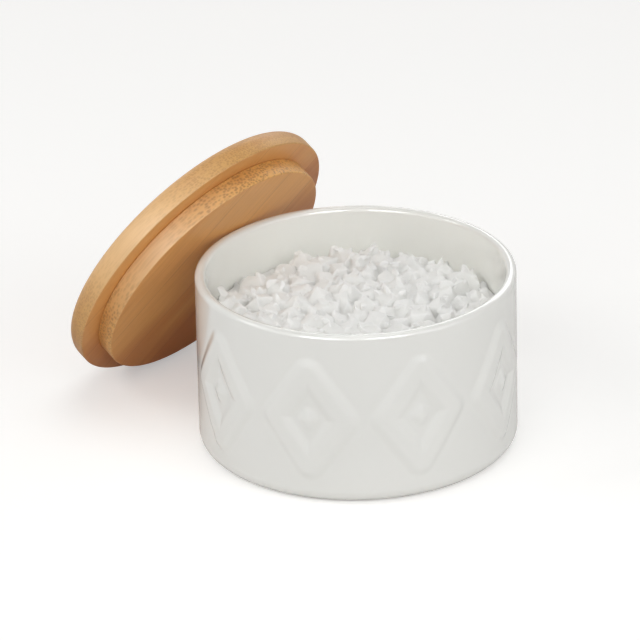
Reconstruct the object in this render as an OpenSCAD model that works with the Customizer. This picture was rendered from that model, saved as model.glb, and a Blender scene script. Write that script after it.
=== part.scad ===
// Round glazed salt pot with a loose stepped bamboo lid, which stands on its edge
// and leans on the pot's lip. The origin is the centre of the pot's foot, +Z is up,
// and the front with the raised lozenges faces -Y.

/* [Pot] */
// Outer diameter of the pot
pot_d = 105; // [90:1:130]
// Height of the pot from its foot to the top of its lip
pot_h = 59.7; // [50:0.1:80]
// Thickness of the wall, which is also the width of the round lip
pot_wall = 3.4; // [2.4:0.1:5]
// Thickness of the floor from the foot to the inside
pot_floor = 5; // [3.5:0.1:8]
// Rounding outside, where the wall turns into the base
base_round = 4.5; // [2:0.5:8]
// Rounding inside, where the wall turns into the floor
inner_round = 8; // [3:0.5:14]
// Width of the flat ring that the pot stands on
foot_ring_w = 5; // [3:0.5:10]
// Depth of the recess inside the foot ring
foot_recess = 1.2; // [0.5:0.1:2]
// Width of the slope at the edge of the recess
foot_slope = 1.5; // [0.5:0.1:3]

/* [Raised lozenges] */
// Number of lozenges across the front
motif_count = 4; // [1:1:5]
// Angle between the centres of neighbouring lozenges
motif_step = 40; // [38:1:60]
// Direction of the middle of the row, from +X
motif_turn = -88; // [-120:1:-60]
// Width of a lozenge
motif_w = 32; // [26:0.5:33]
// Distance of the lozenges' lower corners above the foot
motif_above_foot = 6.5; // [6:0.5:10]
// Distance of the lozenges' upper corners below the lip
motif_below_lip = 6.5; // [4:0.5:10]
// Width of the band that makes a lozenge
motif_band = 7; // [4:0.25:7.5]
// Rounding of a lozenge's corners
motif_round = 4; // [2:0.25:5]
// Rounding of the corners inside the band
motif_inner_round = 1; // [0.5:0.25:1.5]
// Width of the small solid lozenge in the middle
bead_w = 5; // [4:0.5:7]
// Height of the small solid lozenge in the middle
bead_h = 7.5; // [5:0.5:9]
// Rounding of the small lozenge's corners
bead_round = 1; // [0.5:0.1:1.2]
// Height of the relief above the wall
motif_raise = 1; // [0.5:0.1:2]

/* [Lid] */
// Thickness of the top board
board_t = 8.2; // [6:0.1:12]
// Distance of the top board's edge inside the pot's side
board_inset = 0.7; // [-2:0.1:4]
// Rounding of the top board's upper edge
board_round = 4; // [2:0.1:5.5]
// Thickness of the plug under the top board
plug_t = 6.6; // [4:0.1:10]
// Clearance between the plug and the mouth of the pot
plug_gap = 4.3; // [1:0.1:8]
// Eased edge of the boards, where they aren't rounded
eased_edge = 0.5; // [0.2:0.1:1]

/* [Leaning lid] */
// Angle between the lid's axis and the vertical
lean_tilt = 59.7; // [54:0.1:66]
// Direction in which the lid stands beside the pot, from +X
lean_turn = 137; // [90:1:180]
// Distance that the lid stands off to the side of that direction
lean_side = 1.1; // [-6:0.1:6]
// Clearance between the plug's face and the lip
lean_gap = 0.3; // [0.2:0.1:1]

/* [Salt] */
// Depth of the level bed of salt below the lip
salt_drop = 19; // [15:0.5:28]
// Clearance between the salt and the wall
salt_gap = 0.3; // [0.2:0.1:1]
// Rise of the heap above the bed in the middle
heap_rise = 3; // [1:0.5:5]
// Height of the heap at the wall
heap_edge = 1; // [0.5:0.5:2]
// Number of large crystals on top
crystal_count = 90; // [10:1:100]
// Length of the largest crystal
crystal_len = 11.5; // [6:0.5:12]
// Seed of the crystals' sizes and turns
crystal_seed = 7; // [1:1:99]

/* [Hidden] */

$fn = 128;
glaze_colour = [0.91, 0.91, 0.88];
salt_colour = [0.95, 0.95, 0.94];
board_colour = [0.82, 0.63, 0.40];
plug_colour = [0.74, 0.54, 0.33];

pot_r = pot_d / 2;
mouth_r = pot_r - pot_wall;
lip_r = pot_wall / 2;
recess_r = pot_r - base_round - foot_ring_w;
clear_of_top = 1;
into_wall = pot_wall / 2;
arc_steps = 6;

motif_h = pot_h - motif_above_foot - motif_below_lip;
motif_z = motif_above_foot + motif_h / 2;

board_r = pot_r - board_inset;
plug_r = mouth_r - plug_gap;

bed_top = pot_h - salt_drop;
salt_r = mouth_r - salt_gap;
// Shape of a crystal, as shares of its length, and the turn of its second block
crystal_block = [1, 0.72, 0.5];
crystal_cross = [0.5, 0.86, 0.7];
crystal_twist = [38, 24, 15];
crystal_least = 0.65;
crystal_reach = norm(crystal_block) / 2;
golden_angle = 137.508;
heap_shoulder = 0.6;

// Centre of the board's underside: its lowest edge stands on the ground, and the
// plug's face lies lean_gap off the round lip
lean_z = (board_r - eased_edge) * sin(lean_tilt) + eased_edge * (1 - cos(lean_tilt));
lip_to_board = plug_t + lip_r + lean_gap;
lean_out = pot_r - lip_r
    + (lip_to_board - (lean_z - pot_h + lip_r) * cos(lean_tilt)) / sin(lean_tilt);

// Half outline of a space inside the pot, up to the given height
module cavity_outline(r, top) {
    translate([0, pot_floor])
        square([r - inner_round, inner_round]);
    translate([0, pot_floor + inner_round])
        square([r, top - pot_floor - inner_round]);
    intersection() {
        translate([r - inner_round, pot_floor + inner_round])
            circle(inner_round);
        translate([0, pot_floor])
            square([r, inner_round]);
    }
}

// Half outline of the pot before its inside is taken out
module body_outline() {
    translate([0, base_round])
        square([pot_r, pot_h - base_round - lip_r]);
    square([pot_r - base_round, base_round]);
    translate([pot_r - base_round, base_round])
        circle(base_round);
    translate([pot_r - lip_r, pot_h - lip_r])
        circle(lip_r);
}

module pot_shell() {
    rotate_extrude()
        intersection() {
            difference() {
                body_outline();
                cavity_outline(mouth_r, pot_h + clear_of_top);
                polygon([
                    [0, -clear_of_top],
                    [recess_r + foot_slope, -clear_of_top],
                    [recess_r + foot_slope, 0],
                    [recess_r, foot_recess],
                    [0, foot_recess]
                ]);
            }
            square([pot_r, pot_h]);
        }
}

// Points of an arc about [x, y], from one angle to another
function arc_points(x, y, r, from, to) = [
    for (k = [0 : arc_steps])
        let (a = from + (to - from) * k / arc_steps)
            [x + r * cos(a), y + r * sin(a)]
];

// Flat lozenge with round corners, its centre at the origin
module lozenge(w, h, r) {
    side = atan(h / w);
    reach_x = w / 2 - r / sin(side);
    reach_y = h / 2 - r / cos(side);
    polygon(concat(
        arc_points(reach_x, 0, r, side - 90, 90 - side),
        arc_points(0, reach_y, r, 90 - side, 90 + side),
        arc_points(-reach_x, 0, r, 90 + side, 270 - side),
        arc_points(0, -reach_y, r, 270 - side, 270 + side)
    ));
}

// One flat motif: a lozenge band with a small solid lozenge inside it
module motif() {
    side = atan(motif_h / motif_w);
    difference() {
        lozenge(motif_w, motif_h, motif_round);
        lozenge(motif_w - 2 * motif_band / sin(side), motif_h - 2 * motif_band / cos(side),
            motif_inner_round);
    }
    lozenge(bead_w, bead_h, bead_round);
}

// The row of motifs, wrapped on the wall by cutting straight bars with a round shell
module relief() {
    intersection() {
        rotate_extrude()
            translate([pot_r - into_wall, 0])
                square([into_wall + motif_raise, pot_h]);
        for (i = [0 : motif_count - 1])
            rotate([0, 0, motif_turn + (i - (motif_count - 1) / 2) * motif_step])
                translate([0, 0, motif_z])
                    rotate([90, 0, 90])
                        linear_extrude(height = pot_r + 2 * motif_raise)
                            motif();
    }
}

module pot() {
    color(glaze_colour)
        union() {
            pot_shell();
            relief();
        }
}

module salt_bed() {
    color(salt_colour)
        rotate_extrude()
            cavity_outline(salt_r, bed_top);
}

// Irregular crystal of the given length: two crossed blocks under one skin, which
// goes straight down from them, so that the heap has no hollow under a crystal
module buried_crystal(len, turns) {
    hull()
        for (z = [0, -crystal_len])
            translate([0, 0, z])
                rotate(turns) {
                    cube(crystal_block * len, center = true);
                    rotate(crystal_twist)
                        cube(crystal_cross * len, center = true);
                }
}

// Height of the heap's surface above the bed at distance r from the axis
function heap_height(r) = heap_edge
    + (heap_rise - heap_edge) * (r < heap_shoulder * salt_r ? 1
    : (salt_r - r) / (salt_r * (1 - heap_shoulder)));

// The loose top of the salt: a low heap set with large crystals on a sunflower
// spiral, flat underneath where it lies on the bed
module salt_crystals() {
    draws = rands(0, 1, 4 * crystal_count, crystal_seed);
    color(salt_colour)
        intersection() {
            translate([-pot_r, -pot_r, bed_top])
                cube([pot_d, pot_d, pot_h]);
            union() {
                translate([0, 0, bed_top])
                    rotate_extrude($fn = 48)
                        polygon([
                            [0, 0],
                            [salt_r, 0],
                            [salt_r, heap_edge],
                            [heap_shoulder * salt_r, heap_rise],
                            [0, heap_rise]
                        ]);
                for (i = [0 : crystal_count - 1]) {
                    len = crystal_len * (crystal_least + (1 - crystal_least) * draws[4 * i]);
                    reach = (salt_r - crystal_reach * len) * sqrt((i + 0.5) / crystal_count);
                    rotate([0, 0, i * golden_angle])
                        translate([reach, 0, bed_top + heap_height(reach)])
                            buried_crystal(len, 360 * [
                                draws[4 * i + 1], draws[4 * i + 2], draws[4 * i + 3]
                            ]);
                }
            }
        }
}

// Moves a lid piece from its own upright frame to where the lid leans
module leaning() {
    rotate([0, 0, lean_turn])
        translate([lean_out, lean_side, lean_z])
            rotate([0, lean_tilt, 0])
                children();
}

// Disc from z = 0 to z = t with its own rounding at each edge
module turned_disc(r, t, low_round, high_round) {
    rotate_extrude()
        intersection() {
            union() {
                square([r - high_round, t]);
                square([r - low_round, t - high_round]);
                translate([0, low_round])
                    square([r, t - low_round - high_round]);
                translate([r - low_round, low_round])
                    circle(low_round);
                translate([r - high_round, t - high_round])
                    circle(high_round);
            }
            square([r, t]);
        }
}

module lid_board() {
    color(board_colour)
        leaning()
            turned_disc(board_r, board_t, eased_edge, board_round);
}

module lid_plug() {
    color(plug_colour)
        leaning()
            translate([0, 0, -plug_t])
                turned_disc(plug_r, plug_t, eased_edge, eased_edge);
}

pot();
salt_bed();
salt_crystals();
lid_board();
lid_plug();
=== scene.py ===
import math

import bmesh
import bpy
import numpy as np
from mathutils import Euler, Matrix, Vector


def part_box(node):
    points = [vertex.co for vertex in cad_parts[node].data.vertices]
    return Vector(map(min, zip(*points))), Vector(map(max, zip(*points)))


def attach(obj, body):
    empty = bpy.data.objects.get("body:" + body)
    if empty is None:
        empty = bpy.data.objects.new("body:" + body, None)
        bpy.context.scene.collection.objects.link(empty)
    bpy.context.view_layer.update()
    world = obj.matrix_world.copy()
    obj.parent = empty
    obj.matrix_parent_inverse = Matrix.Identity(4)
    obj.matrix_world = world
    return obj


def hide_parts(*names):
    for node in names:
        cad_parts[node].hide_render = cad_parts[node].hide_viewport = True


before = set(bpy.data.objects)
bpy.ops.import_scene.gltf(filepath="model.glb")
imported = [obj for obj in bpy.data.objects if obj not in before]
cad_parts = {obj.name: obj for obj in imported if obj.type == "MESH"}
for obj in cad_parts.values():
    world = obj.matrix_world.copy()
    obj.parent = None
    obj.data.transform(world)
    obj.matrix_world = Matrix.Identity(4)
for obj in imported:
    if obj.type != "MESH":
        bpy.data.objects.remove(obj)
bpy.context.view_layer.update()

MM = 0.001

# The photograph's view: a long lens from in front and above, turned a little
CAMERA_ELEVATION = math.radians(24.94)
CAMERA_ROLL = math.radians(-1.3)
CAMERA_DISTANCE = 1981 * MM
CAMERA_TARGET = Vector((-11.9, 15.9, 34.2)) * MM
SENSOR_WIDTH = 36
LENS = 337.5

# The pot, from its solid and from the sizes that its box doesn't show
pot_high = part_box("pot")[1]
POT_R = pot_high.y
POT_H = pot_high.z
WALL = 3.4 * MM
LIP_R = WALL / 2
FLOOR_Z = 5 * MM
BASE_ROUND = 4.5 * MM
INNER_ROUND = 8 * MM
FOOT_W = 5 * MM
FOOT_RECESS = 1.2 * MM
FOOT_SLOPE = 1.5 * MM
MOUTH_R = POT_R - WALL

# The row of raised lozenges on the front
MOTIF_COUNT = 4
MOTIF_STEP = math.radians(40)
MOTIF_TURN = math.radians(-88)
MOTIF_W = 32 * MM
MOTIF_ABOVE_FOOT = 6.5 * MM
MOTIF_BELOW_LIP = 6.5 * MM
MOTIF_H = POT_H - MOTIF_ABOVE_FOOT - MOTIF_BELOW_LIP
MOTIF_Z = MOTIF_ABOVE_FOOT + MOTIF_H / 2
MOTIF_BAND = 7 * MM
MOTIF_ROUND = 4 * MM
BEAD_W = 5 * MM
BEAD_H = 7.5 * MM
BEAD_ROUND = 1 * MM
MOTIF_RAISE = 1 * MM
# Half width of the slope that the glaze leaves at the relief's edge
GLAZE_SLOPE = 1.9 * MM
# Fineness of the pot's mesh: height of a row on the relief, and columns along the
# relief and across the plain back
RELIEF_ROW = 0.42 * MM
FRONT_COLUMNS = 340
BACK_COLUMNS = 142

# The leaning lid's own frame: turned about Y, then about Z, with its origin in the
# middle of the top board's underside
LID_TILT = math.radians(59.7)
LID_TURN = math.radians(137)
LID_SIDE = 1.1 * MM
LEAN_GAP = 0.3 * MM
BOARD_R = POT_R - 0.7 * MM
BOARD_T = 8.2 * MM
BOARD_ROUND = 4 * MM
PLUG_R = MOUTH_R - 4.3 * MM
PLUG_T = 6.6 * MM
EASED_EDGE = 0.5 * MM
LID_Z = (BOARD_R - EASED_EDGE) * math.sin(LID_TILT) + EASED_EDGE * (1 - math.cos(LID_TILT))
LID_OUT = POT_R - LIP_R + (PLUG_T + LIP_R + LEAN_GAP - (LID_Z - POT_H + LIP_R)
                           * math.cos(LID_TILT)) / math.sin(LID_TILT)
LID_CENTRE = Matrix.Rotation(LID_TURN, 3, "Z") @ Vector((LID_OUT, LID_SIDE, LID_Z))
LID_POSE = Euler((0, LID_TILT, LID_TURN)).to_matrix()
# Distance that the boards' own meshes stay inside their solids
SKIN = 0.03 * MM
BOARD_COLUMNS = 256
# Direction of the bamboo's fibres in the lid's own frame, and width of a strip
FIBRE_TURN = math.radians(30)
FIBRE_POSE = LID_POSE @ Matrix.Rotation(FIBRE_TURN, 3, "Z")
STRIP_W = 19 * MM

salt_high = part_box("salt_crystals")[1]
bed_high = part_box("salt_bed")[1]
# Inputs of the tree that strews crystals: spacing and length of each size, distance
# from the axis past which the wall's own crystals lie, and the steepest face, as the
# upward part of its normal, that still carries any
CRYSTAL_INPUTS = {
    "Middle Spacing": 8.0 * MM,
    "Middle Length": 8.5 * MM,
    "Small Spacing": 3.6 * MM,
    "Small Length": 5.4 * MM,
    "Wall Spacing": 4.5 * MM,
    "Wall Length": 8.5 * MM,
    "Wall Radius": 41.0 * MM,
    "Lowest Slope": 0.25,
    "Seed": 11,
}
CRYSTAL_KINDS = 10
CRYSTAL_CORNERS = 9
# Half a crystal's size each way, as shares of its length
CRYSTAL_REACH = Vector((0.5, 0.42, 0.26))
MOST_CRYSTALS = 4.0e5
SALT_VOXEL = 0.4 * MM
# Share of the grown heap's triangles that are kept: its flat facets need few
SALT_KEPT = 0.3
FACET_ANGLE = math.radians(24)

# Linear colours of the finishes
GLAZE_SHADES = (0.83, 0.83, 0.80), (0.855, 0.855, 0.83)
# The inside's warmer glaze, made brighter by painted light
GLAZE_INSIDE_PAINTED_LIGHT = (0.955, 0.96, 0.91)
# The lip's thin glaze, darkened further by painted shade
GLAZE_ON_LIP_PAINTED_SHADE = (0.78, 0.78, 0.745)
BARE_CLAY = (0.62, 0.57, 0.49)
SALT_SHADES = (0.745, 0.745, 0.72), (0.80, 0.80, 0.78)
# Pale sides along the fibres: the wood's own tone with painted sheen
RIND_AND_SHEEN = (0.86, 0.59, 0.32)
BUNDLE_END = (0.29, 0.115, 0.030)
GLUE_LINE = (0.25, 0.105, 0.032)
# Painted warm shade on the level faces
PAINTED_WARM_SHADE = (0.62, 0.19, 0.05)
# The wood's colours by its tone, on its sides and on its end grain
SIDE_WOOD = (
    (0.34, (0.50, 0.18, 0.036)), (0.5, (0.65, 0.285, 0.068)), (0.66, (0.80, 0.42, 0.125)))
END_WOOD = (
    (0.34, (0.52, 0.205, 0.042)), (0.5, (0.66, 0.30, 0.066)), (0.66, (0.78, 0.41, 0.105)))

# The studio: the floor's colour and the light that only the camera sees on it, the
# surroundings' light on the object, and the lamps
FLOOR_HALF = 3.0
FLOOR_WHITE = (0.84, 0.83, 0.81)
FLOOR_GLOW = 2.75
FLOOR_GLOW_SHARE = 0.145
ROOM_LIGHT = 0.33
LAMP_TARGET = Vector((0, 0, 0.03))
# Name, place, width, height, watts, and whether it lights more than the glaze's edges
LAMPS = (
    ("front_lamp", (-0.05, -0.92, 0.74), 3.0, 0.45, 6.9, True),
    ("side_lamp", (1.1, -0.6, 0.55), 0.7, 0.7, 2.5, True),
    ("left_lamp", (-1.2, -0.1, 0.9), 0.5, 0.5, 3.6, True),
    ("top_lamp", (0.1, -0.1, 1.6), 1.0, 1.0, 5.7, True),
    ("glint_left_lamp", (-0.45, -0.9, 0.62), 0.5, 0.4, 7.0, False),
    ("glint_right_lamp", (0.35, -0.9, 0.62), 0.5, 0.4, 7.0, False),
    ("glint_back_lamp", (0.4, 1.1, 0.75), 1.0, 0.4, 4.0, False),
)


class Value:
    """A socket in a node tree; each operator on it adds one Math node."""

    def __init__(self, tree, socket):
        self.tree = tree
        self.socket = socket

    def _math(self, operation, *operands):
        return self.tree.add("ShaderNodeMath", {"operation": operation},
                             dict(enumerate(operands)))

    def __add__(self, other):
        return self._math("ADD", self, other)

    def __radd__(self, other):
        return self._math("ADD", other, self)

    def __sub__(self, other):
        return self._math("SUBTRACT", self, other)

    def __rsub__(self, other):
        return self._math("SUBTRACT", other, self)

    def __mul__(self, other):
        return self._math("MULTIPLY", self, other)

    def __rmul__(self, other):
        return self._math("MULTIPLY", other, self)

    def __truediv__(self, other):
        return self._math("DIVIDE", self, other)

    def __gt__(self, other):
        return self._math("GREATER_THAN", self, other)

    def __lt__(self, other):
        return self._math("LESS_THAN", self, other)

    def __abs__(self):
        return self._math("ABSOLUTE", self)

    def __floor__(self):
        return self._math("FLOOR", self)

    def fraction(self):
        return self._math("FRACT", self)


class Tree:
    """A node tree that is built by adding one node at a time."""

    def __init__(self, tree):
        self.nodes = tree.nodes
        self.links = tree.links
        self.nodes.clear()

    def add(self, kind, settings=None, sockets=None, out=0):
        """Adds a node with its settings and its sockets' values or links, and gives one output."""
        node = self.nodes.new(kind)
        for name, setting in (settings or {}).items():
            if name == "stops":
                self._set_stops(node.color_ramp, setting)
            else:
                setattr(node, name, setting)
        for key, value in (sockets or {}).items():
            if isinstance(value, Value):
                self.links.new(value.socket, node.inputs[key])
            else:
                node.inputs[key].default_value = value
        return Value(self, node.outputs[out]) if node.outputs else node

    def _set_stops(self, ramp, stops):
        while len(ramp.elements) < len(stops):
            ramp.elements.new(1)
        for element, (position, colour) in zip(ramp.elements, stops):
            element.position = position
            element.color = (*colour, 1)

    def colour(self, value):
        return value if isinstance(value, Value) else (*value, 1)

    def blend(self, factor, low, high):
        """A colour between low and high."""
        return self.add("ShaderNodeMix", {"data_type": "RGBA"},
                        {0: factor, 6: self.colour(low), 7: self.colour(high)}, out=2)

    def ramp(self, value, low, high):
        """0 below low, 1 above high and smooth between them."""
        return self.add("ShaderNodeMapRange", {"interpolation_type": "SMOOTHSTEP"},
                        {0: value, 1: low, 2: high, 3: 0.0, 4: 1.0})

    def noise(self, place, scale, detail=2.0, roughness=0.5):
        return self.add("ShaderNodeTexNoise", {}, {
            "Vector": place, "Scale": scale, "Detail": detail, "Roughness": roughness})

    def object_place(self):
        return self.add("ShaderNodeTexCoord", out="Object")

    def vector(self, x, y, z):
        return self.add("ShaderNodeCombineXYZ", {}, {0: x, 1: y, 2: z})

    def part(self, vector, axis):
        return self.add("ShaderNodeSeparateXYZ", {}, {0: vector}, out=axis)

    def vector_math(self, operation, *vectors, out="Vector"):
        return self.add("ShaderNodeVectorMath", {"operation": operation},
                        dict(enumerate(vectors)), out)

    def from_axis(self, place):
        """Distance of a place from the pot's axis."""
        level = self.vector_math("MULTIPLY", place, (1, 1, 0))
        return self.vector_math("LENGTH", level, out="Value")

    def join(self, pieces):
        """All the given geometry as one."""
        joined = self.add("GeometryNodeJoinGeometry")
        for piece in pieces:
            self.links.new(piece.socket, joined.socket.node.inputs[0])
        return joined


def new_finish(name):
    """A material and its empty tree."""
    material = bpy.data.materials.new(name)
    material.use_nodes = True
    return material, Tree(material.node_tree)


def set_surface(tree, shader):
    tree.add("ShaderNodeOutputMaterial", {}, {"Surface": shader})


def set_finish(piece, finish):
    piece.data.materials.clear()
    piece.data.materials.append(finish)


def new_object(name, data):
    """A new object in the scene, at the origin."""
    made = bpy.data.objects.new(name, data)
    bpy.context.scene.collection.objects.link(made)
    return made


def shade_smooth(mesh):
    mesh.polygons.foreach_set("use_smooth", [True] * len(mesh.polygons))


def mesh_piece(name, points, faces):
    """A new smooth object at the origin with its place in its mesh."""
    mesh = bpy.data.meshes.new(name)
    mesh.from_pydata(points, [], faces)
    mesh.validate()
    shade_smooth(mesh)
    return new_object(name, mesh)


def arc(centre_r, centre_z, radius, start, end, steps):
    """Points of an outline's round stretch, angles in degrees from outwards to up."""
    turns = np.radians(np.linspace(start, end, steps + 1))
    return [(centre_r + radius * math.cos(t), centre_z + radius * math.sin(t)) for t in turns]


def pot_outline():
    """Half outline from the middle of the underside round to the middle of the inside."""
    recess_r = POT_R - BASE_ROUND - FOOT_W
    wall_high = POT_H - LIP_R
    relief_low = MOTIF_Z - MOTIF_H / 2 - GLAZE_SLOPE
    relief_high = MOTIF_Z + MOTIF_H / 2 + GLAZE_SLOPE
    relief_rows = int((relief_high - relief_low) / RELIEF_ROW)
    wall_z = [*np.linspace(BASE_ROUND, relief_low, 5)[1:-1],
              *np.linspace(relief_low, relief_high, relief_rows),
              *np.linspace(relief_high, wall_high, 9)[1:-1]]
    inner_z = np.linspace(wall_high, FLOOR_Z + INNER_ROUND, 12)[1:-1]
    return [
        *[(recess_r * share, FOOT_RECESS) for share in (0.25, 0.5, 0.75, 0.97, 1)],
        (recess_r + FOOT_SLOPE / 2, FOOT_RECESS / 2),
        *[(recess_r + FOOT_SLOPE + share * (FOOT_W - FOOT_SLOPE), 0) for share in (0, 0.1, 0.9)],
        *arc(POT_R - BASE_ROUND, BASE_ROUND, BASE_ROUND, -90, 0, 14),
        *[(POT_R, z) for z in wall_z],
        *arc(POT_R - LIP_R, wall_high, LIP_R, 0, 180, 18),
        *[(MOUTH_R, z) for z in inner_z],
        *arc(MOUTH_R - INNER_ROUND, FLOOR_Z + INNER_ROUND, INNER_ROUND, 0, -90, 10),
        *[((MOUTH_R - INNER_ROUND) * share, FLOOR_Z) for share in (0.75, 0.5, 0.25)],
    ]


def lozenge_distance(across, up, width, height, corner):
    """Signed distance to a lozenge with round corners, negative inside."""
    side = math.atan2(height, width)
    half_w = width / 2 - corner / math.sin(side)
    half_h = height / 2 - corner / math.cos(side)
    x = np.abs(across)
    y = np.abs(up)
    along = ((half_w - 2 * x) * half_w - (half_h - 2 * y) * half_h) / (half_w**2 + half_h**2)
    along = np.clip(along, -1, 1)
    away = np.hypot(x - half_w / 2 * (1 - along), y - half_h / 2 * (1 + along))
    return away * np.sign(x * half_h + y * half_w - half_w * half_h) - corner


def relief_height(turn, z):
    """Height of the relief above the wall at each turn and height."""
    height = np.zeros_like(turn)
    for i in range(MOTIF_COUNT):
        centre = MOTIF_TURN + (i - (MOTIF_COUNT - 1) / 2) * MOTIF_STEP
        away = np.angle(np.exp(1j * (turn - centre)))
        across = POT_R * np.sin(away)
        up = z - MOTIF_Z
        outer = lozenge_distance(across, up, MOTIF_W, MOTIF_H, MOTIF_ROUND)
        bead = lozenge_distance(across, up, BEAD_W, BEAD_H, BEAD_ROUND)
        distance = np.minimum(np.abs(outer + MOTIF_BAND / 2) - MOTIF_BAND / 2, bead)
        rise = np.clip((GLAZE_SLOPE - distance) / (2 * GLAZE_SLOPE), 0, 1)
        rise = rise * rise * (3 - 2 * rise)
        rise[np.abs(away) > math.pi / 2] = 0
        height = np.maximum(height, MOTIF_RAISE * rise)
    return height


def revolve(outline, turns):
    """Points and faces of a closed solid of revolution, with one point at each end."""
    columns = len(turns)
    r, z = (np.array(part)[:, None] for part in zip(*outline))
    x = r * np.cos(turns)[None, :]
    y = r * np.sin(turns)[None, :]
    points = np.stack([x, y, np.broadcast_to(z, x.shape)], axis=2).reshape(-1, 3)
    first = len(points)
    last = first + 1
    top = first - columns
    points = np.vstack([points, [0, 0, outline[0][1]], [0, 0, outline[-1][1]]])
    faces = []
    for column in range(columns):
        after = (column + 1) % columns
        faces.append((first, after, column))
        faces.append((last, top + column, top + after))
        for row in range(0, top, columns):
            faces.append((row + column, row + after,
                          row + columns + after, row + columns + column))
    return points, faces


def make_pot():
    """The pot as one closed mesh, its relief raised from the wall."""
    half_row = (MOTIF_COUNT / 2) * MOTIF_STEP
    front_start = MOTIF_TURN - half_row
    front_end = MOTIF_TURN + half_row
    turns = np.concatenate([
        np.linspace(front_start, front_end, FRONT_COLUMNS),
        np.linspace(front_end, front_start + 2 * math.pi, BACK_COLUMNS)[1:-1],
    ])
    points, faces = revolve(pot_outline(), turns)
    x, y, z = points.T
    radius = np.hypot(x, y)
    nearly = 0.001 * MM
    on_wall = (radius > POT_R - nearly) & (z > BASE_ROUND) & (z < POT_H - LIP_R)
    raised = relief_height(np.arctan2(y, x), z) * on_wall
    scale = np.where(on_wall, 1 + raised / np.maximum(radius, nearly), 1)
    points[:, :2] *= scale[:, None]
    return mesh_piece("glazed_pot", points.tolist(), faces)


def make_disc(name, r, t, low_round, high_round, low_z):
    """A turned board of the leaning lid, its edges rounded, with its underside at low_z."""
    r -= SKIN
    outline = [
        *[(r * share, 0) for share in (0.3, 0.6, 0.9)],
        *arc(r - low_round, low_round, low_round, -90, 0, 6),
        *arc(r - high_round, t - high_round, high_round, 0, 90, 12),
        *[(r * share, t) for share in (0.85, 0.6, 0.3)],
    ]
    points, faces = revolve(outline, np.linspace(0, 2 * math.pi, BOARD_COLUMNS + 1)[:-1])
    points[:, 2] += low_z
    points = points @ np.array(LID_POSE).T + np.array(LID_CENTRE)
    return mesh_piece(name, points.tolist(), faces)


def glaze_finish():
    """White glaze, a little uneven, with a bare ring where the pot stands."""
    material, tree = new_finish("white_glaze")
    place = tree.object_place()
    height = tree.part(place, "Z")
    cloud = tree.noise(place, 28.0, 3.0)
    ripple = tree.noise(place, 160.0)
    glazed = tree.ramp(height, 0.2 * MM, 0.8 * MM)
    # Glaze runs thin over the lip, which painted shade makes darker still; the inside glaze is
    # warmer in tint and made brighter by painted light
    lip = tree.ramp(height, POT_H - 1.9 * MM, POT_H - 0.4 * MM)
    inside = (tree.from_axis(place) < POT_R - LIP_R) * (height > FLOOR_Z - 0.5 * MM)
    glaze_with_painted_light_inside = tree.blend(inside, tree.blend(cloud, *GLAZE_SHADES), GLAZE_INSIDE_PAINTED_LIGHT)
    coated = tree.blend(lip, glaze_with_painted_light_inside, GLAZE_ON_LIP_PAINTED_SHADE)
    bump = tree.add("ShaderNodeBump", {}, {
        "Strength": 0.12, "Distance": 0.4 * MM, "Height": ripple})
    shader = tree.add("ShaderNodeBsdfPrincipled", {}, {
        "Base Color": tree.blend(glazed, BARE_CLAY, coated),
        "Roughness": 0.75 - 0.58 * glazed + 0.04 * cloud,
        "IOR": 1.5,
        "Normal": bump,
        "Subsurface Weight": 0.12,
        "Subsurface Radius": (1.0, 1.0, 1.0),
        "Subsurface Scale": 2 * MM,
        "Coat Weight": glazed * 0.6,
        "Coat Roughness": 0.06,
    })
    set_surface(tree, shader)
    return material


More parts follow.
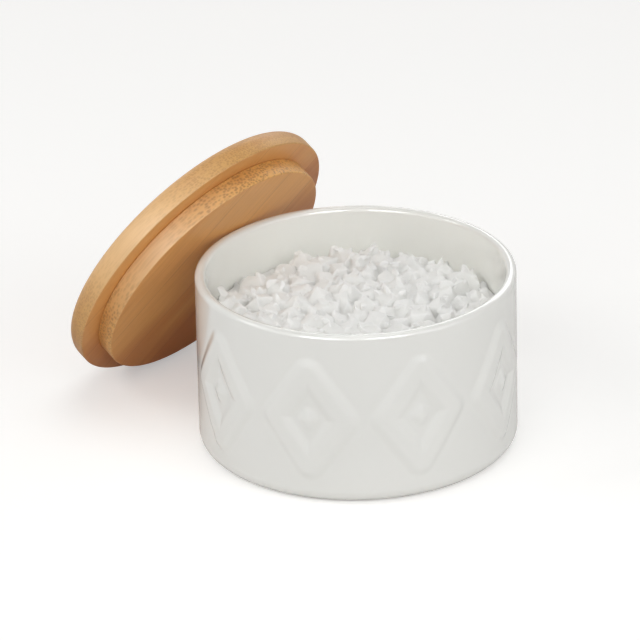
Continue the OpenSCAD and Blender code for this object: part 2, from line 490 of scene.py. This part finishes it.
def bamboo_finish(name, ply_t, shift, bundle_scale, bundle_depth, side_light, end_light):
    """Laminated bamboo: strips along the fibres, dark bundle ends where it is cut across.

    shift moves the strips sideways, and the two lights dim the wood on its sides and on
    its end grain.
    """
    material, tree = new_finish(name)
    local = tree.add("ShaderNodeMapping", {"vector_type": "TEXTURE"}, {
        "Vector": tree.object_place(),
        "Location": tuple(LID_CENTRE),
        "Rotation": tuple(FIBRE_POSE.to_euler()),
    })
    along = tree.part(local, "X")
    across = tree.part(local, "Y") + shift
    through = tree.part(local, "Z")

    # Counted from a little below the board, so that no face lies between two plies
    layer = through / ply_t + 0.25
    ply = math.floor(layer)
    strip_place = across / STRIP_W + ply * 0.37
    strip_key = tree.vector(math.floor(strip_place), ply, 0.5)
    strip_tone = tree.add("ShaderNodeTexWhiteNoise", {"noise_dimensions": "3D"}, {0: strip_key})
    seam = tree.ramp(abs(strip_place.fraction() - 0.5), 0.478, 0.498)

    def drawn_out(stretch):
        """The place, with the distance along the fibres made shorter."""
        return tree.vector(along * stretch, across, through)

    streak = tree.noise(drawn_out(0.03), 900.0, 3.0, 0.6)
    grain = tree.noise(drawn_out(0.02), 330.0)
    broad = tree.noise(drawn_out(0.15), 95.0)
    bundle = tree.add("ShaderNodeTexVoronoi", {}, {
        "Vector": drawn_out(0.04), "Scale": bundle_scale, "Randomness": 0.8})
    spot = 1 - tree.ramp(bundle, 0.15, 0.72)
    # Bundles crowd together towards one side of each ply
    crowd = layer.fraction()
    patchy = tree.noise(local, 75.0)

    def facing(direction):
        """How squarely the surface faces along a direction of the fibres' own frame."""
        normal = tree.add("ShaderNodeNewGeometry", out="True Normal")
        way = tuple(FIBRE_POSE @ Vector(direction))
        return abs(tree.vector_math("DOT_PRODUCT", normal, way, out="Value"))

    # End grain, where the surface cuts across the fibres, drinks more oil
    end_grain = tree.ramp(facing((1, 0, 0)), 0.1, 0.8)
    flat = tree.ramp(facing((0, 0, 1)), 0.7, 0.95)

    # Painted light and shade: the wood gets lighter from one side of the lid to the other, light
    # where the lid is lit and dark where the pot shades it
    painted_light_and_shade_across = tree.ramp(across - 0.6 * along, -25 * MM, 18 * MM)
    tone = 0.05 * streak + 0.11 * grain + 0.38 * broad + 0.16 * strip_tone + 0.3 * painted_light_and_shade_across

    def wood_ramp(light, stops):
        """The wood's colour from its tone, all stops dimmed by the same share."""
        return tree.add("ShaderNodeValToRGB", {"stops": [
            (at, tuple(light * part for part in shade)) for at, shade in stops]}, {0: tone})

    wood = tree.blend(end_grain, wood_ramp(side_light, SIDE_WOOD), wood_ramp(end_light, END_WOOD))
    # The boards' sides are palest where they run along the fibres: partly the wood's own tone,
    # partly painted sheen
    rind_and_sheen = (1 - flat) * (1 - end_grain) * 0.55
    depth = bundle_depth * (0.25 + 0.75 * end_grain)
    dotted = tree.blend(spot * depth * (0.5 + 0.2 * crowd + 0.5 * patchy),
                        tree.blend(rind_and_sheen, wood, RIND_AND_SHEEN), BUNDLE_END)
    line = seam * flat
    lined = tree.blend(line * 0.32, dotted, GLUE_LINE)
    bump = tree.add("ShaderNodeBump", {}, {
        "Strength": 0.14, "Distance": 0.3 * MM,
        "Height": 0.6 * streak + 0.5 * grain - 0.6 * spot * end_grain - 0.6 * line})
    shader = tree.add("ShaderNodeBsdfPrincipled", {}, {
        # Painted warm shade: the level faces are redder than the sides
        "Base Color": tree.blend(flat * 0.22, lined, PAINTED_WARM_SHADE),
        "Roughness": 0.4 + 0.15 * streak,
        "Normal": bump,
        "IOR": 1.5,
        "Coat Weight": 0.1,
        "Coat Roughness": 0.35,
    })
    set_surface(tree, shader)
    return material


def salt_finish():
    """Cloudy white salt that lets light in."""
    material, tree = new_finish("coarse_salt")
    place = tree.object_place()
    cloud = tree.noise(place, 420.0, 3.0)
    grit = tree.noise(place, 1800.0)
    # Light that wanders inside the crystals evens their facets out
    normal = tree.add("ShaderNodeNewGeometry", out="Normal")
    evened = tree.vector_math("NORMALIZE", tree.vector_math("ADD", normal, (0, -0.4, 0.9)))
    bump = tree.add("ShaderNodeBump", {}, {
        "Strength": 0.2, "Distance": 0.3 * MM, "Height": grit, "Normal": evened})
    shader = tree.add("ShaderNodeBsdfPrincipled", {}, {
        "Base Color": tree.blend(cloud, *SALT_SHADES),
        "Roughness": 0.28 + 0.3 * cloud,
        "Normal": bump,
        "IOR": 1.54,
        "Subsurface Weight": 1.0,
        "Subsurface Radius": (1.0, 1.0, 1.0),
        "Subsurface Scale": 4 * MM,
    })
    set_surface(tree, shader)
    return material


def heap_surface():
    """A copy of the heap's solid, its loose triangles joined."""
    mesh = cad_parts["salt_crystals"].data.copy()
    mesh.name = "salt_top"
    work = bmesh.new()
    work.from_mesh(mesh)
    bmesh.ops.remove_doubles(work, verts=work.verts, dist=0.001 * MM)
    work.to_mesh(mesh)
    work.free()
    return new_object("salt_top", mesh)


def crystal_tree(finish):
    """Scatters broken crystals over a surface: a tree with named sizes and a fixed seed."""
    group = bpy.data.node_groups.new("loose crystals", "GeometryNodeTree")
    group.interface.new_socket("Geometry", in_out="OUTPUT", socket_type="NodeSocketGeometry")
    group.interface.new_socket("Surface", in_out="INPUT", socket_type="NodeSocketGeometry")
    for name, value in CRYSTAL_INPUTS.items():
        kind = "NodeSocketInt" if isinstance(value, int) else "NodeSocketFloat"
        socket = group.interface.new_socket(name, in_out="INPUT", socket_type=kind)
        socket.default_value = value
    tree = Tree(group)

    def given(name):
        return tree.add("NodeGroupInput", out=name)

    def random(kind, low, high, seed, out=0):
        return tree.add("FunctionNodeRandomValue", {"data_type": kind},
                        {"Min": low, "Max": high, "Seed": seed}, out)

    def crystal(seed):
        corners = tree.add("GeometryNodePoints", {}, {
            "Count": CRYSTAL_CORNERS,
            "Position": random("FLOAT_VECTOR", -CRYSTAL_REACH, CRYSTAL_REACH, seed)})
        hull = tree.add("GeometryNodeConvexHull", {}, {0: corners})
        return tree.add("GeometryNodeGeometryToInstance", {}, {0: hull})

    shapes = tree.join(crystal(40 + k) for k in range(CRYSTAL_KINDS))
    surface = given("Surface")
    upward = tree.part(tree.add("GeometryNodeInputNormal"), "Z") > given("Lowest Slope")
    radius = tree.from_axis(tree.add("GeometryNodeInputPosition"))
    at_wall = upward * (radius > given("Wall Radius"))

    def strewn(layer, size, where):
        """Crystals of one size, each turned, scaled and chosen at random."""
        spots = tree.add("GeometryNodeDistributePointsOnFaces", {"distribute_method": "POISSON"}, {
            "Mesh": surface,
            "Selection": where,
            "Distance Min": given(size + " Spacing"),
            "Density Max": MOST_CRYSTALS,
            "Seed": given("Seed") + layer,
        })
        return tree.add("GeometryNodeInstanceOnPoints", {}, {
            "Points": spots,
            "Instance": shapes,
            "Pick Instance": True,
            "Instance Index": random("INT", 0, CRYSTAL_KINDS - 1, 7 + layer, out=2),
            "Rotation": random("FLOAT_VECTOR", (0, 0, 0), (2 * math.pi,) * 3, 3 + layer),
            "Scale": random("FLOAT", 0.55, 1.0, 5 + layer, out=1) * given(size + " Length"),
        })

    layers = tree.join([
        surface,
        strewn(0, "Middle", upward),
        strewn(1, "Small", upward),
        strewn(2, "Wall", at_wall),
    ])
    real = tree.add("GeometryNodeRealizeInstances", {}, {0: layers})
    done = tree.add("GeometryNodeSetMaterial", {}, {"Geometry": real, "Material": finish})
    tree.add("NodeGroupOutput", {}, {0: done})
    return group


def plain_mesh(piece):
    """Turns what the piece's modifiers make into its own mesh."""
    depsgraph = bpy.context.evaluated_depsgraph_get()
    mesh = bpy.data.meshes.new_from_object(piece.evaluated_get(depsgraph))
    piece.modifiers.clear()
    piece.data = mesh
    return mesh


def make_salt_top(finish):
    """The heap with smaller crystals strewn on it, grown into one soft-edged body."""
    piece = heap_surface()
    scatter = piece.modifiers.new("crystals", "NODES")
    scatter.node_group = crystal_tree(finish)
    grow = piece.modifiers.new("grow together", "REMESH")
    grow.mode = "VOXEL"
    grow.voxel_size = SALT_VOXEL
    thin_out = piece.modifiers.new("thin out", "DECIMATE")
    thin_out.ratio = SALT_KEPT
    mesh = plain_mesh(piece)
    # Nothing sticks out of the solid's height or into the pot's wall
    for vertex in mesh.vertices:
        vertex.co.z = min(max(vertex.co.z, bed_high.z), salt_high.z)
        out = math.hypot(vertex.co.x, vertex.co.y)
        if out > bed_high.x:
            vertex.co.x *= bed_high.x / out
            vertex.co.y *= bed_high.x / out
    shade_smooth(mesh)
    mesh.set_sharp_from_angle(angle=FACET_ANGLE)
    return piece


def make_camera():
    forward = Vector((0, math.cos(CAMERA_ELEVATION), -math.sin(CAMERA_ELEVATION)))
    right = Vector((1, 0, 0))
    up = right.cross(forward)
    turned_right = math.cos(CAMERA_ROLL) * right + math.sin(CAMERA_ROLL) * up
    turned_up = math.cos(CAMERA_ROLL) * up - math.sin(CAMERA_ROLL) * right
    data = bpy.data.cameras.new("photo_camera")
    data.lens = LENS
    data.sensor_width = SENSOR_WIDTH
    data.clip_start = 0.1
    data.clip_end = 20
    camera = new_object("photo_camera", data)
    camera.matrix_world = Matrix.Translation(CAMERA_TARGET - CAMERA_DISTANCE * forward) @ Matrix(
        (turned_right, turned_up, -forward)).transposed().to_4x4()
    bpy.context.scene.camera = camera


def ray(tree, kind):
    return tree.add("ShaderNodeLightPath", out="Is " + kind + " Ray")


def make_surroundings():
    """White surroundings: full white where they are seen, softer where they light."""
    world = bpy.data.worlds.new("studio")
    bpy.context.scene.world = world
    world.use_nodes = True
    tree = Tree(world.node_tree)
    # Mirror and glass rays show the backdrop as the camera does
    seen = tree.add("ShaderNodeClamp", {}, {
        0: ray(tree, "Camera") + ray(tree, "Glossy") + ray(tree, "Transmission")})
    background = tree.add("ShaderNodeBackground", {}, {
        "Color": (1, 1, 1, 1), "Strength": ROOM_LIGHT + (1 - ROOM_LIGHT) * seen})
    tree.add("ShaderNodeOutputWorld", {}, {"Surface": background})


def make_floor():
    """A white floor that keeps the shadow."""
    corners = [(x * FLOOR_HALF, y * FLOOR_HALF, 0)
               for x, y in ((-1, -1), (1, -1), (1, 1), (-1, 1))]
    floor = mesh_piece("floor", corners, [(0, 1, 2, 3)])
    material, tree = new_finish("floor_white")
    lit = tree.add("ShaderNodeBsdfDiffuse", {}, {"Color": (*FLOOR_WHITE, 1)})
    glow = tree.add("ShaderNodeEmission", {}, {"Color": (1, 1, 1, 1), "Strength": FLOOR_GLOW})
    mixed = tree.add("ShaderNodeMixShader", {}, {
        0: ray(tree, "Camera") * FLOOR_GLOW_SHARE, 1: lit, 2: glow})
    set_surface(tree, mixed)
    set_finish(floor, material)


def make_lamps():
    for name, place, width, height, watts, lights_all in LAMPS:
        data = bpy.data.lights.new(name, "AREA")
        data.shape = "RECTANGLE"
        data.size = width
        data.size_y = height
        data.energy = watts
        lamp = new_object(name, data)
        lamp.location = place
        lamp.visible_diffuse = lights_all
        aim = LAMP_TARGET - Vector(place)
        lamp.rotation_euler = aim.to_track_quat("-Z", "Y").to_euler()


def main():
    bpy.context.scene.view_settings.view_transform = "Standard"
    make_camera()
    make_surroundings()
    make_floor()
    make_lamps()

    pot = make_pot()
    set_finish(pot, glaze_finish())
    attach(pot, "pot")
    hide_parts("pot")

    salt = salt_finish()
    salt_top = make_salt_top(salt)
    set_finish(salt_top, salt)
    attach(salt_top, "pot")
    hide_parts("salt_crystals")
    set_finish(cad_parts["salt_bed"], salt)

    for node, piece, finish in (
        ("lid_board",
         make_disc("top_board", BOARD_R, BOARD_T, EASED_EDGE, BOARD_ROUND, 0),
         bamboo_finish("bamboo_board", ply_t=BOARD_T / 2, shift=0, bundle_scale=1500.0,
                       bundle_depth=0.45, side_light=0.88, end_light=0.74)),
        ("lid_plug",
         make_disc("plug_board", PLUG_R, PLUG_T, EASED_EDGE, EASED_EDGE, -PLUG_T),
         bamboo_finish("bamboo_plug", ply_t=PLUG_T / 2, shift=7 * MM, bundle_scale=1150.0,
                       bundle_depth=0.75, side_light=0.95, end_light=0.9)),
    ):
        set_finish(piece, finish)
        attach(piece, "lid")
        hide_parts(node)


main()
